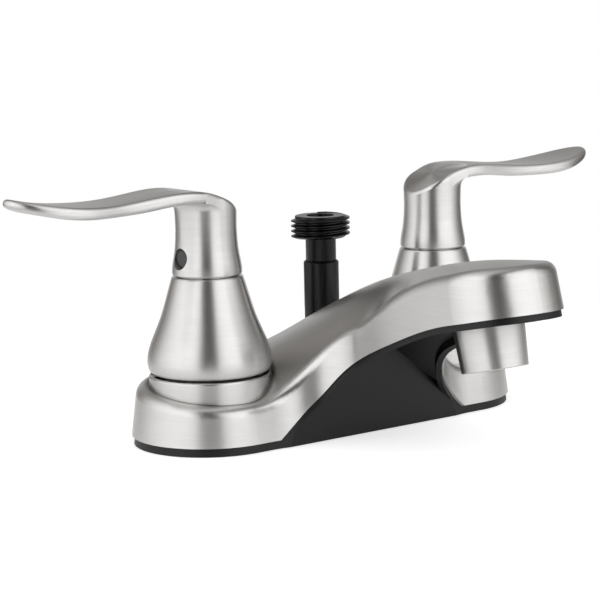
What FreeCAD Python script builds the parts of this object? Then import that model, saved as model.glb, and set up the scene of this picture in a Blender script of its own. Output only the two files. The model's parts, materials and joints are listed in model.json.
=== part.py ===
"""Centerset bathroom faucet with two lever handles, a hose riser and a pull-down diverter.

Millimetres, +Z up, the spout points towards -Y. The origin lies on the deck face, midway
between the two handles.
"""
import FreeCAD, Part
import math
import os

from FreeCAD import Placement, Rotation, Vector

os.makedirs("parts", exist_ok=True)

# Plan of the base and the spout
handle_centres = 101.6
base_end_radius = 27.8
base_draft = 7.0
spout_half_width = 22.6
spout_draft = 2.3
inside_corner_radius = 21.0
nose_centre_reach = 102.3
outlet_lean = 12.5
loft_height = 74.0

# Top of the shell: a sloping deck with one long hump over the spout
deck_height = 19.0
deck_slope = 0.14
# Each station is the distance in front of the handle line, the ridge height and the half width of the hump
hump_stations = (
    (-40.0, 24.9, 48.3), (-28.0, 25.4, 48.3), (-14.0, 32.0, 48.3), (0.0, 39.6, 48.3),
    (15.0, 46.7, 48.3), (30.0, 52.9, 48.3), (45.0, 57.6, 51.5), (60.0, 61.2, 72.0),
    (75.0, 64.2, 103.0), (90.0, 66.0, 145.0), (104.0, 66.3, 170.0), (120.0, 65.6, 190.0),
)
surface_reach = 96.0
surface_columns = 33
crease_radius = 4.0

# Shell walls and pads
rim_height = 3.0
shell_wall = 2.2
crown_wall = 3.0
pad_radius = 21.0
pad_top = 23.8
pad_edge = 0.8
pad_wall = 2.5

# Lower edge of the spout's side, measured along a diagonal that runs out and forward
arch_points = (
    (-14.0, -2.2), (-10.5, 2.2), (-5.2, 8.2), (-1.1, 12.8), (3.4, 17.2), (8.8, 23.2), (17.4, 30.8),
    (28.6, 37.8), (44.9, 46.0), (55.3, 49.0), (65.0, 50.7), (78.9, 51.6), (95.0, 51.7),
)

# Underbody
rim_inset = 1.0
pan_inset = 1.0
pan_wall = 2.0
lip_drop = 2.4
pan_rise = 0.4
recess_front = 27.6
recess_wall = 2.2
recess_half_length = 43.0
tongue_height = 3.0
tongue_wall = 1.6
part_gap = 0.3
bell_gap = 0.6

# Waterway
housing_radius = 12.0
housing_top = 34.0
housing_foot = 0.3
inlet_radius = 9.5
inlet_depth = 9.2
seat_web = 2.5
port_radius = 4.0
chamber_radius = 10.0
channel_radius = 5.2
channel_bore = 3.8
channel_height = 14.6
block_radius = 10.0
block_foot = 8.0
block_top = 26.0
pipe_radius = 4.0
pipe_bore = 3.2
pipe_bend = 14.0
pipe_route = ((0, -4, 20.5), (0, -28, 42.4), (0, -60, 53.2))

# Valve cartridge
running_clearance = 0.05
seal_height = 3.0
disc_height = 2.75
skirt_wall = 0.8
driver_height = 3.5
driver_radius = 7.0
cartridge_flange = 2.0
cartridge_neck_radius = 7.5
cartridge_neck_height = 8.0
stem_radius = 4.5
spline_radius = 4.0
spline_foot = 50.0
spline_top = 70.0
seal_groove_depth = 0.9
seal_groove_foot = 39.0
seal_groove_width = 2.0
nut_across_flats = 28.0
nut_top_web = 2.5
nut_skirt = 6.0

# Bell under each handle: radius at height
bell_foot = 24.5
bell_foot_radius = 18.9
bell_profile = (
    (20.9, 25.6), (21.35, 27.6), (21.1, 31.0), (19.65, 35.6), (17.85, 39.9), (16.2, 44.0),
    (14.85, 48.2), (13.65, 52.3), (12.25, 57.0),
)
bell_top = 57.4
bell_wall = 1.6
bell_mouth_radius = 18.0
ring_lip_radius = 18.5
ring_height = 3.7

# Handle: hub of revolution and a winged lever
hub_foot = 57.9
hub_profile = ((11.95, 58.4), (11.85, 60.6), (11.15, 64.7), (10.65, 68.9), (10.42, 74.0), (10.55, 79.0), (10.65, 85.0))
hub_top = 92.0
hub_edge = 0.4
spigot_radius = 9.9
spigot_depth = 2.2
spigot_bore = 8.6
hub_cavity_top = 61.5
lever_top = (
    (-14.0, 75.3), (-10.5, 78.2), (-5.5, 82.2), (0.0, 85.0), (6.0, 86.9), (12.0, 87.6), (20.0, 87.4),
    (30.0, 86.4), (40.0, 85.6), (50.0, 85.6), (60.0, 86.5), (70.0, 88.3), (80.0, 90.8),
)
lever_under = (
    (-4.0, 80.0), (8.0, 83.2), (20.0, 83.2), (30.0, 82.1), (40.0, 81.6), (50.0, 81.6), (60.0, 82.5),
    (70.0, 84.8), (80.0, 88.4),
)
lever_outline = (
    (5.0, 11.15), (12.0, 11.8), (20.0, 11.3), (30.0, 10.5), (40.0, 10.7), (50.0, 11.8), (59.0, 11.7),
    (67.0, 9.6), (73.5, 6.0),
)
lever_reach = 77.0
lever_top_edge = 1.4
lever_under_edge = 1.6
root_radius = 3.2
root_height = 83.3
screw_height = 64.0
index_radius = 3.6
index_recess = 0.9
index_thickness = 1.6
set_screw_radius = 2.0
set_screw_length = 4.6

# Hose riser
riser_y = 2.1
riser_radius = 6.25
riser_bore = 4.5
riser_foot = 17.0
riser_top = 57.5
riser_chamfer = 0.6
riser_groove_foot = 20.0
riser_groove_width = 2.0
riser_groove_depth = 0.9
neck_radius = 5.4
nipple_tail = 8.0
thread_foot = 65.7
thread_crest_radius = 10.475
nipple_top = 73.5
nipple_bore = 4.85
nipple_through = 3.2
nipple_bore_depth = 10.0
thread_chamfer = 0.8

# Outlet and diverter, on an axis that leans forward
outlet_y = -86.1
outlet_z = 42.9
collar_top = 5.0
collar_foot = -12.8
collar_top_radius = 12.05
collar_foot_radius = 11.0
collar_bore = 9.9
collar_web = 1.5
nozzle_radius = 8.0
nozzle_bore = 5.0
nozzle_seat_bore = 3.6
nozzle_seat = 5.0
nozzle_foot = -5.0
nozzle_flange = 1.5
nozzle_flange_radius = 9.0
nozzle_top = 12.6
outlet_block_foot = 10.6
outlet_block_top = 17.7
outlet_block_radius = 9.5
outlet_chamber_radius = 6.0
outlet_chamber_top = 16.4
pipe_entry = 13.6
diverter_travel = 4.0
poppet_head = 2.0
poppet_head_radius = 4.5
poppet_stem_radius = 1.3
spider_thickness = 1.0
spider_arm = 2.4
aerator_height = 4.8
aerator_radius = 9.8
aerator_bore = 7.0
aerator_recess = 0.5
screen_thickness = 0.8
screen_hole = 0.7
spring_wire = 0.45
spring_radius = 8.9
spring_turns = 4

# Screws from below
screw_x = 24.0
screw_y = 15.0
screw_radius = 1.5
screw_head_radius = 3.0
screw_head_height = 1.6
screw_length = 12.0
boss_radius = 3.4
head_recess = 0.3

handle_x = handle_centres / 2
up = Vector(0, 0, 1)
seat_height = housing_foot + inlet_depth + seat_web
disc_radius = chamber_radius - running_clearance - skirt_wall - running_clearance
lower_disc_foot = seat_height + seal_height
upper_disc_foot = lower_disc_foot + disc_height
driver_foot = upper_disc_foot + disc_height
driver_top = driver_foot + driver_height
flange_top = housing_top + cartridge_flange
lean = Placement(Vector(0, outlet_y, outlet_z), Rotation(Vector(1, 0, 0), -outlet_lean))


def slope(degrees):
    return math.tan(math.radians(degrees))


def cylinder(radius, foot, top, x=0.0, y=0.0):
    return Part.makeCylinder(radius, top - foot, Vector(x, y, foot), up)


def ring(outer, inner, foot, top, x=0.0, y=0.0):
    return cylinder(outer, foot, top, x, y).cut(cylinder(inner, foot - 1, top + 1, x, y))


def slab(x0, x1, y0, y1, z0, z1):
    return Part.makeBox(x1 - x0, y1 - y0, z1 - z0, Vector(x0, y0, z0))


def polygon(points):
    return Part.makePolygon([Vector(*p) for p in points] + [Vector(*points[0])])


def spline(points):
    curve = Part.BSplineCurve()
    curve.interpolate([Vector(*p) for p in points])
    return curve.toShape()


def line(start, end):
    return Part.LineSegment(Vector(*start), Vector(*end)).toShape()


def turned(points):
    """A solid of revolution about Z from a closed outline of radius and height."""
    face = Part.Face(polygon([(radius, 0, height) for radius, height in points]))
    return face.revolve(Vector(0, 0, 0), up, 360)


def mirrored(shape):
    return shape.mirror(Vector(0, 0, 0), Vector(1, 0, 0))


def only_solid(shape):
    """The largest solid of a result, with its seams merged."""
    solids = sorted(shape.Solids, key=lambda solid: solid.Volume)
    return solids[-1].removeSplitter()


# Shell
def outline(height, inset=0.0):
    """Plan of the base and spout at one height: tangent lines and arcs, always ten edges."""
    end = base_end_radius - height * slope(base_draft) - inset
    side = spout_half_width - height * slope(spout_draft) - inset
    corner = inside_corner_radius + inset
    nose = -(nose_centre_reach - height * slope(outlet_lean))
    corner_x = side + corner
    corner_y = -(end + corner)
    turn = math.sqrt(0.5)

    def point(x, y):
        return Vector(x, y, height)

    def half(sign):
        """Edges of one side, from the back centre round the end to the nose tip."""
        x = sign
        return [
            Part.LineSegment(point(0, end), point(x * handle_x, end)),
            Part.Arc(point(x * handle_x, end), point(x * (handle_x + end), 0), point(x * handle_x, -end)),
            Part.LineSegment(point(x * handle_x, -end), point(x * corner_x, -end)),
            Part.Arc(point(x * corner_x, -end),
                     point(x * (corner_x - corner * turn), corner_y + corner * turn),
                     point(x * side, corner_y)),
            Part.LineSegment(point(x * side, corner_y), point(x * side, nose)),
            Part.Arc(point(x * side, nose), point(x * side * turn, nose - side * turn), point(0, nose - side)),
        ]

    edges = [curve.toShape() for curve in half(1)]
    edges += [curve.toShape() for curve in reversed(half(-1))]
    return Part.Wire(edges)


def plan_prism(inset=0.0, foot=0.0, top=loft_height):
    """Everything inside the drafted side walls, moved inwards by the inset."""
    return Part.makeLoft([outline(foot, inset), outline(top, inset)], True, True)


def deck(y):
    return deck_height + deck_slope * y


def under_crown(drop=0.0):
    """Everything below the shell's top surface, lowered by the drop."""
    rows = []
    for forward, ridge, half_width in hump_stations:
        y = -forward
        row = []
        for column in range(surface_columns):
            x = surface_reach * (2 * column / (surface_columns - 1) - 1)
            share = min(abs(x) / half_width, 1.0)
            bell_curve = 0.5 * (1 + math.cos(math.pi * share))
            row.append(Vector(x, y, deck(y) + (ridge - deck(y)) * bell_curve - drop))
        rows.append(row)
    surface = Part.BSplineSurface()
    surface.interpolate(rows)
    return surface.toShape().extrude(Vector(0, 0, -120))


def under_arch(rise=0.0):
    """Everything below the arch, raised by the rise. Its rulings run in and forward on each side."""
    diagonal = math.sqrt(0.5)

    def place(along, height):
        return (along * diagonal, -along * diagonal, height)

    curve = [place(along, height + rise) for along, height in arch_points]
    low = min(height for along, height in arch_points) - 30
    first = place(arch_points[0][0], low)
    last = place(arch_points[-1][0], low)
    face = Part.Face(Part.Wire([spline(curve), line(curve[-1], last), line(last, first), line(first, curve[0])]))
    reach = 220.0
    face.translate(Vector(-reach * diagonal, -reach * diagonal, 0))
    prism = face.extrude(Vector(2 * reach * diagonal, 2 * reach * diagonal, 0))
    left = prism.common(slab(-100, 0, -140, 60, -60, 80))
    return left.fuse(mirrored(left)).removeSplitter()


def crease_edges(shape):
    """The rim where the side walls meet the top surface."""
    found = []
    for edge in shape.Edges:
        box = edge.BoundBox
        on_wall_foot = box.ZMax < rim_height + 0.1
        upright = box.ZLength > 8 and max(box.XLength, box.YLength) < 8
        if not on_wall_foot and not upright:
            found.append(edge)
    return found


def make_body_shell():
    outer = plan_prism().common(under_crown())
    outer = outer.common(slab(-100, 100, -140, 60, rim_height, 90))
    outer = outer.makeFillet(crease_radius, crease_edges(outer))
    for side in (-1, 1):
        pad = cylinder(pad_radius, rim_height + 6, pad_top, side * handle_x)
        pad = pad.makeFillet(pad_edge, [edge for edge in pad.Edges if edge.BoundBox.ZMin > pad_top - 0.1])
        outer = outer.fuse(pad)
    inner = plan_prism(shell_wall).common(under_crown(crown_wall))
    for side in (-1, 1):
        pocket_radius = pad_radius - pad_wall
        inner = inner.fuse(cylinder(pocket_radius, 0, pad_top - pad_wall, side * handle_x))
    for x in (-screw_x, screw_x):
        for y in (-screw_y, screw_y):
            inner = inner.cut(cylinder(boss_radius, rim_height + part_gap, 80, x, y))
    front = slab(-100, 100, -140, -base_end_radius + shell_wall + 1, -60, 90)
    shell = outer.cut(inner).cut(under_arch().common(front))
    bell_radius = max(radius for radius, height in bell_profile)
    for side in (-1, 1):
        shell = shell.cut(cylinder(bell_radius + bell_gap, pad_top, 60, side * handle_x))
        shell = shell.cut(cylinder(housing_radius + part_gap, 0, 40, side * handle_x))
    shell = shell.cut(cylinder(riser_radius + part_gap, 0, 80, 0, riser_y))
    for x in (-screw_x, screw_x):
        for y in (-screw_y, screw_y):
            shell = shell.cut(cylinder(screw_radius + running_clearance, 0, screw_length + 1, x, y))
    return only_solid(shell)


# Underbody
def make_underbody():
    shell_fit = shell_wall + part_gap
    under_lip = under_arch(-lip_drop)
    recess = slab(-100, 100, -140, -recess_front, -60, 90)
    lip = plan_prism(pan_inset).common(under_arch(-running_clearance)).cut(under_lip).common(recess)
    ceiling = plan_prism(shell_fit).common(under_arch(pan_rise + pan_wall)).cut(under_lip).common(recess)
    hollow = plan_prism(pan_inset + pan_wall).common(under_arch(pan_rise)).common(recess)
    pan = lip.fuse(ceiling).cut(hollow)

    wall = slab(-recess_half_length, recess_half_length, -recess_front, -recess_front + recess_wall, 0, 60)
    low_wall = wall.common(plan_prism(rim_inset)).common(under_arch(-running_clearance))
    high_wall = wall.common(plan_prism(shell_fit)).common(under_arch(pan_rise + pan_wall))

    behind = slab(-100, 100, -recess_front, 60, 0, 90)
    floor = plan_prism(rim_inset).common(behind).common(slab(-100, 100, -60, 60, 0, rim_height - running_clearance))
    tongue_space = slab(-100, 100, -recess_front + recess_wall, 60, rim_height - 1, rim_height + tongue_height)
    tongue = plan_prism(shell_fit).cut(plan_prism(shell_fit + tongue_wall)).common(tongue_space)

    body = floor.fuse([tongue, low_wall, high_wall, pan])
    for side in (-1, 1):
        body = body.cut(cylinder(housing_radius + part_gap, -1, 20, side * handle_x))
    for x in (-screw_x, screw_x):
        for y in (-screw_y, screw_y):
            body = body.cut(cylinder(screw_radius + part_gap, -1, 6, x, y))
            body = body.cut(cylinder(screw_head_radius + part_gap, -1, head_recess + screw_head_height, x, y))
    nozzle_hole = cylinder(nozzle_radius + part_gap, -5, 30)
    nozzle_hole.Placement = lean
    return only_solid(body.cut(nozzle_hole))


def make_screws():
    screws = []
    for x in (-screw_x, screw_x):
        for y in (-screw_y, screw_y):
            head_top = head_recess + screw_head_height
            screw = cylinder(screw_head_radius, head_recess, head_top, x, y)
            screw = screw.fuse(cylinder(screw_radius, head_top - 0.1, screw_length, x, y))
            cross = slab(x - 1.8, x + 1.8, y - 0.4, y + 0.4, 0, head_recess + 0.8)
            cross = cross.fuse(slab(x - 0.4, x + 0.4, y - 1.8, y + 1.8, 0, head_recess + 0.8))
            screws.append(only_solid(screw.cut(cross)))
    return Part.makeCompound(screws)


# Waterway
def bent_path(points, bend):
    """Straight runs joined by tangent arcs of one radius."""
    edges = []
    start = points[0]
    for before, corner, after in zip(points, points[1:], points[2:]):
        back = (before - corner).normalize()
        on = (after - corner).normalize()
        half_angle = back.getAngle(on) / 2
        reach = bend / math.tan(half_angle)
        enter = corner + back * reach
        leave = corner + on * reach
        to_centre = (back + on).normalize()
        middle = corner + to_centre * (bend / math.sin(half_angle) - bend)
        edges.append(Part.LineSegment(start, enter).toShape())
        edges.append(Part.Arc(enter, middle, leave).toShape())
        start = leave
    edges.append(Part.LineSegment(start, points[-1]).toShape())
    return Part.Wire(edges)


def tube_along(path, radius):
    start = path.Edges[0]
    first = start.valueAt(start.FirstParameter)
    direction = start.tangentAt(start.FirstParameter)
    circle = Part.Wire(Part.makeCircle(radius, first, direction))
    return path.makePipeShell([circle], True, False)


def spout_path():
    entry = lean.multVec(Vector(0, 0, pipe_entry))
    points = [Vector(*point) for point in pipe_route] + [entry]
    return bent_path(points, pipe_bend)


def make_waterway():
    body = cylinder(block_radius, block_foot, block_top, 0, riser_y)
    run = Part.makeCylinder(channel_radius, handle_centres, Vector(-handle_x, 0, channel_height), Vector(1, 0, 0))
    run_bore = Part.makeCylinder(channel_bore, handle_centres, Vector(-handle_x, 0, channel_height), Vector(1, 0, 0))
    path = spout_path()
    outlet = cylinder(outlet_block_radius, outlet_block_foot, outlet_block_top)
    outlet.Placement = lean
    body = body.fuse([run, tube_along(path, pipe_radius), outlet])
    for side in (-1, 1):
        body = body.fuse(cylinder(housing_radius, housing_foot, housing_top, side * handle_x))
    body = body.cut(run_bore).cut(tube_along(path, pipe_bore))
    body = body.cut(cylinder(riser_radius + running_clearance, riser_foot, block_top + 1, 0, riser_y))
    body = body.cut(cylinder(riser_bore, channel_height, block_top, 0, riser_y))
    chamber = cylinder(outlet_chamber_radius, outlet_block_foot - 1, outlet_chamber_top)
    chamber = chamber.fuse(cylinder(nozzle_radius + running_clearance, outlet_block_foot - 1, nozzle_top + running_clearance))
    chamber.Placement = lean
    body = body.cut(chamber)
    for side in (-1, 1):
        x = side * handle_x
        body = body.cut(cylinder(inlet_radius, 0, housing_foot + inlet_depth, x))
        body = body.cut(cylinder(port_radius, 0, housing_top, x))
        body = body.cut(cylinder(chamber_radius, seat_height, housing_top + 1, x))
    return only_solid(body)


# Riser
def make_riser_tube():
    tube = ring(riser_radius, riser_bore, riser_foot, riser_top, 0, riser_y)
    groove_top = riser_groove_foot + riser_groove_width
    tube = tube.cut(ring(riser_radius + 1, riser_radius - riser_groove_depth, riser_groove_foot, groove_top, 0, riser_y))
    rim = [edge for edge in tube.Edges if edge.BoundBox.ZMin > riser_top - 0.1 and edge.Length > 30]
    return tube.makeChamfer(riser_chamfer, rim)


def make_riser_seal():
    groove_top = riser_groove_foot + riser_groove_width
    return ring(riser_radius, riser_radius - riser_groove_depth, riser_groove_foot + running_clearance,
                groove_top - running_clearance, 0, riser_y)


def make_hose_nipple():
    outline_points = [
        (nipple_through, riser_top - nipple_tail),
        (riser_bore - running_clearance, riser_top - nipple_tail),
        (riser_bore - running_clearance, riser_top),
        (neck_radius, riser_top),
        (neck_radius, thread_foot),
        (thread_crest_radius - thread_chamfer, thread_foot),
        (thread_crest_radius, thread_foot + thread_chamfer / 2),
        (thread_crest_radius, nipple_top - thread_chamfer / 2),
        (thread_crest_radius - thread_chamfer, nipple_top),
        (nipple_bore, nipple_top),
        (nipple_bore, nipple_top - nipple_bore_depth),
        (nipple_through, nipple_top - nipple_bore_depth - 2),
    ]
    nipple = turned(outline_points)
    nipple.translate(Vector(0, riser_y, 0))
    return nipple


# Valve under each handle, modelled on the Z axis and moved to its side afterwards
def make_cartridge_body():
    skirt = ring(chamber_radius - running_clearance, chamber_radius - running_clearance - skirt_wall,
                 seat_height, driver_top + 0.2)
    web = cylinder(chamber_radius - running_clearance, driver_top + 0.2, housing_top)
    flange = cylinder(housing_radius, housing_top, flange_top)
    neck = cylinder(cartridge_neck_radius, flange_top - 0.1, flange_top + cartridge_neck_height)
    window = slab(-20, 20, -3.5, 3.5, channel_height - channel_bore, channel_height + channel_bore)
    body = skirt.fuse([web, flange, neck]).cut(window)
    return only_solid(body.cut(cylinder(stem_radius + running_clearance, 0, 80)))


def make_inlet_seal():
    return ring(disc_radius, port_radius, seat_height, lower_disc_foot)


def make_lower_disc():
    disc = cylinder(disc_radius, lower_disc_foot, upper_disc_foot)
    for side in (-1, 1):
        disc = disc.cut(cylinder(2.0, 0, 60, side * 4.6))
    return disc


def make_upper_disc():
    disc = cylinder(disc_radius - 0.2, upper_disc_foot, driver_foot)
    port = cylinder(disc_radius - 2.2, 0, upper_disc_foot + 1.4)
    half = slab(-20, 20, 1.5, 20, 0, 60)
    return disc.cut(port.common(half))


def make_stem():
    stem = cylinder(driver_radius, driver_foot, driver_top)
    stem = stem.fuse([cylinder(stem_radius, driver_top - 0.1, spline_foot), cylinder(spline_radius, 40, spline_top)])
    groove = ring(stem_radius + 1, stem_radius - seal_groove_depth, seal_groove_foot, seal_groove_foot + seal_groove_width)
    return only_solid(stem.cut(groove))


def make_stem_seal():
    return ring(stem_radius, stem_radius - seal_groove_depth, seal_groove_foot + 0.1,
                seal_groove_foot + seal_groove_width - 0.1)


def make_bonnet_nut():
    corner = nut_across_flats / math.sqrt(3)
    points = [(corner * math.cos(math.radians(60 * n)), corner * math.sin(math.radians(60 * n)), 0) for n in range(6)]
    foot = housing_top - nut_skirt
    nut = Part.Face(polygon(points)).extrude(Vector(0, 0, nut_skirt + cartridge_flange + nut_top_web))
    nut.translate(Vector(0, 0, foot))
    nut = nut.cut(cylinder(housing_radius + running_clearance, foot - 1, flange_top))
    return nut.cut(cylinder(cartridge_neck_radius + part_gap, 0, 60))


def make_bell_ring():
    lip = ring(ring_lip_radius, housing_radius + running_clearance, pad_top, bell_foot)
    thread = ring(bell_mouth_radius - running_clearance, housing_radius + running_clearance,
                  bell_foot - 0.1, pad_top + ring_height)
    return lip.fuse(thread).removeSplitter()


def make_bell():
    def wall_line(offset):
        return [(radius - offset, 0, height) for radius, height in bell_profile]

    outside = spline(wall_line(0.0))
    inside_points = [(bell_mouth_radius, 0, pad_top + ring_height)]
    inside_points += [point for point in wall_line(bell_wall) if point[2] > pad_top + ring_height + 3]
    inside = spline(inside_points)
    out_foot, out_top = wall_line(0.0)[0], wall_line(0.0)[-1]
    in_foot, in_top = inside_points[0], inside_points[-1]
    foot_arc = Part.Arc(Vector(bell_foot_radius, 0, bell_foot),
                        Vector(out_foot[0] - 0.55, 0, bell_foot + 0.35), Vector(*out_foot)).toShape()
    shoulder = (out_top[0] - 0.3, 0, bell_top)
    edges = [
        foot_arc, outside, line(out_top, shoulder), line(shoulder, (in_top[0], 0, bell_top)),
        line((in_top[0], 0, bell_top), in_top), inside,
        line(in_foot, (bell_mouth_radius, 0, bell_foot)),
        line((bell_mouth_radius, 0, bell_foot), (bell_foot_radius, 0, bell_foot)),
    ]
    face = Part.Face(Part.Wire(Part.__sortEdges__(edges)))
    return face.revolve(Vector(0, 0, 0), up, 360)


# Handle, modelled on the Z axis with its lever towards +X
def across(profile_edges):
    """A prism 40 mm wide along Y from an outline in the XZ plane."""
    face = Part.Face(Part.Wire(profile_edges))
    face.translate(Vector(0, -20, 0))
    return face.extrude(Vector(0, 40, 0))


def under_lever_top():
    curve = [(x, 0, z) for x, z in lever_top]
    first, last = (curve[0][0], 0, 40), (curve[-1][0], 0, 40)
    return across([spline(curve), line(curve[-1], last), line(last, first), line(first, curve[0])])


def above_lever_under():
    curve = [(x, 0, z) for x, z in lever_under]
    first, last = (curve[0][0], 0, 120), (curve[-1][0], 0, 120)
    return across([spline(curve), line(curve[-1], last), line(last, first), line(first, curve[0])])


def lever_plan():
    hub_radius = hub_profile[-1][0]
    near = [Vector(0, -hub_radius, 60)] + [Vector(x, -y, 60) for x, y in lever_outline]
    far = [Vector(x, y, 60) for x, y in reversed(lever_outline)] + [Vector(0, hub_radius, 60)]
    curve = Part.BSplineCurve()
    curve.interpolate(Points=near + [Vector(lever_reach, 0, 60)] + far,
                      InitialTangent=Vector(1, 0, 0), FinalTangent=Vector(-1, 0, 0))
    closing = Part.LineSegment(far[-1], near[0]).toShape()
    return Part.Face(Part.Wire([curve.toShape(), closing])).extrude(Vector(0, 0, 60))


def make_hub():
    side = [(radius, 0, height) for radius, height in hub_profile]
    foot = (side[0][0] - hub_edge, 0, hub_foot)
    edges = [
        line((0, 0, hub_foot), foot), line(foot, side[0]), spline(side),
        line(side[-1], (side[-1][0], 0, hub_top)), line((side[-1][0], 0, hub_top), (0, 0, hub_top)),
        line((0, 0, hub_top), (0, 0, hub_foot)),
    ]
    return Part.Face(Part.Wire(edges)).revolve(Vector(0, 0, 0), up, 360)


def make_lever_root():
    """The round that carries the hub's wall out into the lever's underside."""
    radius = hub_profile[-1][0]
    turn = root_radius * (1 - math.sqrt(0.5))
    foot = (radius, 0, root_height - root_radius)
    tip = (radius + root_radius, 0, root_height)
    arc = Part.Arc(Vector(*foot), Vector(radius + turn, 0, root_height - turn), Vector(*tip)).toShape()
    cover = root_height + lever_under_edge
    edges = [
        arc, line(tip, (tip[0], 0, cover)), line((tip[0], 0, cover), (0, 0, cover)),
        line((0, 0, cover), (0, 0, foot[2])), line((0, 0, foot[2]), foot),
    ]
    return Part.Face(Part.Wire(edges)).revolve(Vector(0, 0, 0), up, 360)


def face_at(shape, point):
    return min(shape.Faces, key=lambda face: face.distToShape(Part.Vertex(*point))[0])


def make_handle():
    plan = lever_plan()
    blade = plan.common(above_lever_under())
    middle = lever_under[len(lever_under) // 2]
    under_rim = face_at(blade, (middle[0], 0, middle[1])).Edges
    blade = blade.makeFillet(lever_under_edge, [edge for edge in under_rim if edge.BoundBox.XMax > hub_profile[-1][0]])
    body = make_hub().fuse([blade, make_lever_root().common(plan)]).common(under_lever_top()).removeSplitter()
    middle = lever_top[len(lever_top) // 2]
    body = body.makeFillet(lever_top_edge, face_at(body, (middle[0], 0, middle[1])).Edges)
    body = body.fuse(ring(spigot_radius, spigot_bore, hub_foot - spigot_depth, hub_foot + 0.1))
    body = body.cut(cylinder(spigot_bore, hub_foot - spigot_depth - 1, hub_cavity_top))
    body = body.cut(cylinder(spline_radius + running_clearance, hub_foot, spline_top + 1))
    index_hole = Part.makeCylinder(index_radius + running_clearance, 10,
                                   Vector(index_seat() - running_clearance, 0, screw_height), Vector(1, 0, 0))
    screw_hole = Part.makeCylinder(set_screw_radius + running_clearance, index_seat(),
                                   Vector(0, 0, screw_height), Vector(1, 0, 0))
    return only_solid(body.cut(index_hole).cut(screw_hole))


def index_face():
    """Distance from the handle's axis to the index plug's face."""
    hub_at_screw = hub_profile[2][0]
    return hub_at_screw - index_recess


def index_seat():
    return index_face() - index_thickness


def make_index_plug():
    return Part.makeCylinder(index_radius, index_thickness, Vector(index_seat(), 0, screw_height), Vector(1, 0, 0))


def make_handle_screw():
    start = spline_radius + running_clearance
    screw = Part.makeCylinder(set_screw_radius, set_screw_length, Vector(start, 0, screw_height), Vector(1, 0, 0))
    socket = Part.makeCylinder(1.0, 2.0, Vector(start + set_screw_length - 2, 0, screw_height), Vector(1, 0, 0))
    return screw.cut(socket)


# Diverter, modelled on the Z axis and laid on the leaning outlet axis afterwards
def make_outlet_nozzle():
    return turned([
        (nozzle_seat_bore, nozzle_foot), (nozzle_flange_radius, nozzle_foot),
        (nozzle_flange_radius, nozzle_foot + nozzle_flange), (nozzle_radius, nozzle_foot + nozzle_flange),
        (nozzle_radius, nozzle_top), (nozzle_bore, nozzle_top), (nozzle_bore, nozzle_seat),
        (nozzle_seat_bore, nozzle_seat),
    ])


def make_collar_seal():
    return ring(collar_bore - running_clearance, nozzle_flange_radius, nozzle_foot, nozzle_foot + nozzle_flange)


def make_diverter_collar():
    collar = Part.makeCone(collar_foot_radius, collar_top_radius, collar_top - collar_foot, Vector(0, 0, collar_foot), up)
    foot = [edge for edge in collar.Edges if edge.BoundBox.ZMax < collar_foot + 0.1]
    collar = collar.makeFillet(0.4, foot)
    collar = collar.cut(cylinder(collar_bore, collar_foot - 1, collar_top - collar_web))
    return collar.cut(cylinder(nozzle_radius + running_clearance, 0, collar_top + 1))


def make_aerator_housing():
    foot = collar_foot + aerator_recess
    return ring(aerator_radius, aerator_bore, foot, foot + aerator_height)


def make_aerator_screen():
    foot = collar_foot + aerator_recess + 1.0
    screen = cylinder(aerator_bore, foot, foot + screen_thickness)
    holes = []
    for circle, count in ((0.0, 1), (2.5, 6), (5.0, 12)):
        for n in range(count):
            angle = 2 * math.pi * n / count
            holes.append(cylinder(screen_hole, foot - 1, foot + 2, circle * math.cos(angle), circle * math.sin(angle)))
    return screen.cut(Part.makeCompound(holes))


def make_poppet():
    spider_top = nozzle_foot - 1.5
    head_foot = nozzle_seat + diverter_travel + part_gap
    stem = cylinder(poppet_stem_radius, spider_top - spider_thickness, head_foot + 0.1)
    head = cylinder(poppet_head_radius, head_foot, head_foot + poppet_head)
    arm = slab(-aerator_radius, aerator_radius, -spider_arm / 2, spider_arm / 2, spider_top - spider_thickness, spider_top)
    turned_arm = arm.copy()
    turned_arm.rotate(Vector(0, 0, 0), up, 90)
    spider = arm.fuse(turned_arm).common(cylinder(aerator_radius, -20, 20))
    return stem.fuse([head, spider]).removeSplitter()


def make_spring():
    foot = nozzle_foot + nozzle_flange + spring_wire
    height = collar_top - collar_web - spring_wire - foot
    helix = Part.makeHelix(height / spring_turns, height, spring_radius)
    start = Vector(spring_radius, 0, 0)
    circle = Part.Wire(Part.makeCircle(spring_wire, start, Vector(0, 1, 0)))
    coil = Part.Wire(helix.Edges).makePipeShell([circle], True, True)
    coil.translate(Vector(0, 0, foot))
    return coil


def beside(make, side):
    """One side's copy of a piece that is modelled on the Z axis with its lever towards +X."""
    shape = make()
    if side < 0:
        shape = mirrored(shape)
    shape.translate(Vector(side * handle_x, 0, 0))
    return shape


def leaning(make):
    shape = make()
    shape.Placement = lean.multiply(shape.Placement)
    return shape


central_pieces = {
    "body_shell": make_body_shell,
    "underbody": make_underbody,
    "underbody_screws": make_screws,
    "waterway": make_waterway,
    "riser_tube": make_riser_tube,
    "riser_seal": make_riser_seal,
    "hose_nipple": make_hose_nipple,
}
handle_pieces = {
    "cartridge_body": make_cartridge_body,
    "inlet_seal": make_inlet_seal,
    "lower_disc": make_lower_disc,
    "upper_disc": make_upper_disc,
    "stem": make_stem,
    "stem_seal": make_stem_seal,
    "bonnet_nut": make_bonnet_nut,
    "bell_ring": make_bell_ring,
    "bell": make_bell,
    "handle": make_handle,
    "handle_screw": make_handle_screw,
    "index_plug": make_index_plug,
}
diverter_pieces = {
    "outlet_nozzle": make_outlet_nozzle,
    "collar_seal": make_collar_seal,
    "diverter_collar": make_diverter_collar,
    "aerator_housing": make_aerator_housing,
    "aerator_screen": make_aerator_screen,
    "diverter_poppet": make_poppet,
    "diverter_spring": make_spring,
}


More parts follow.
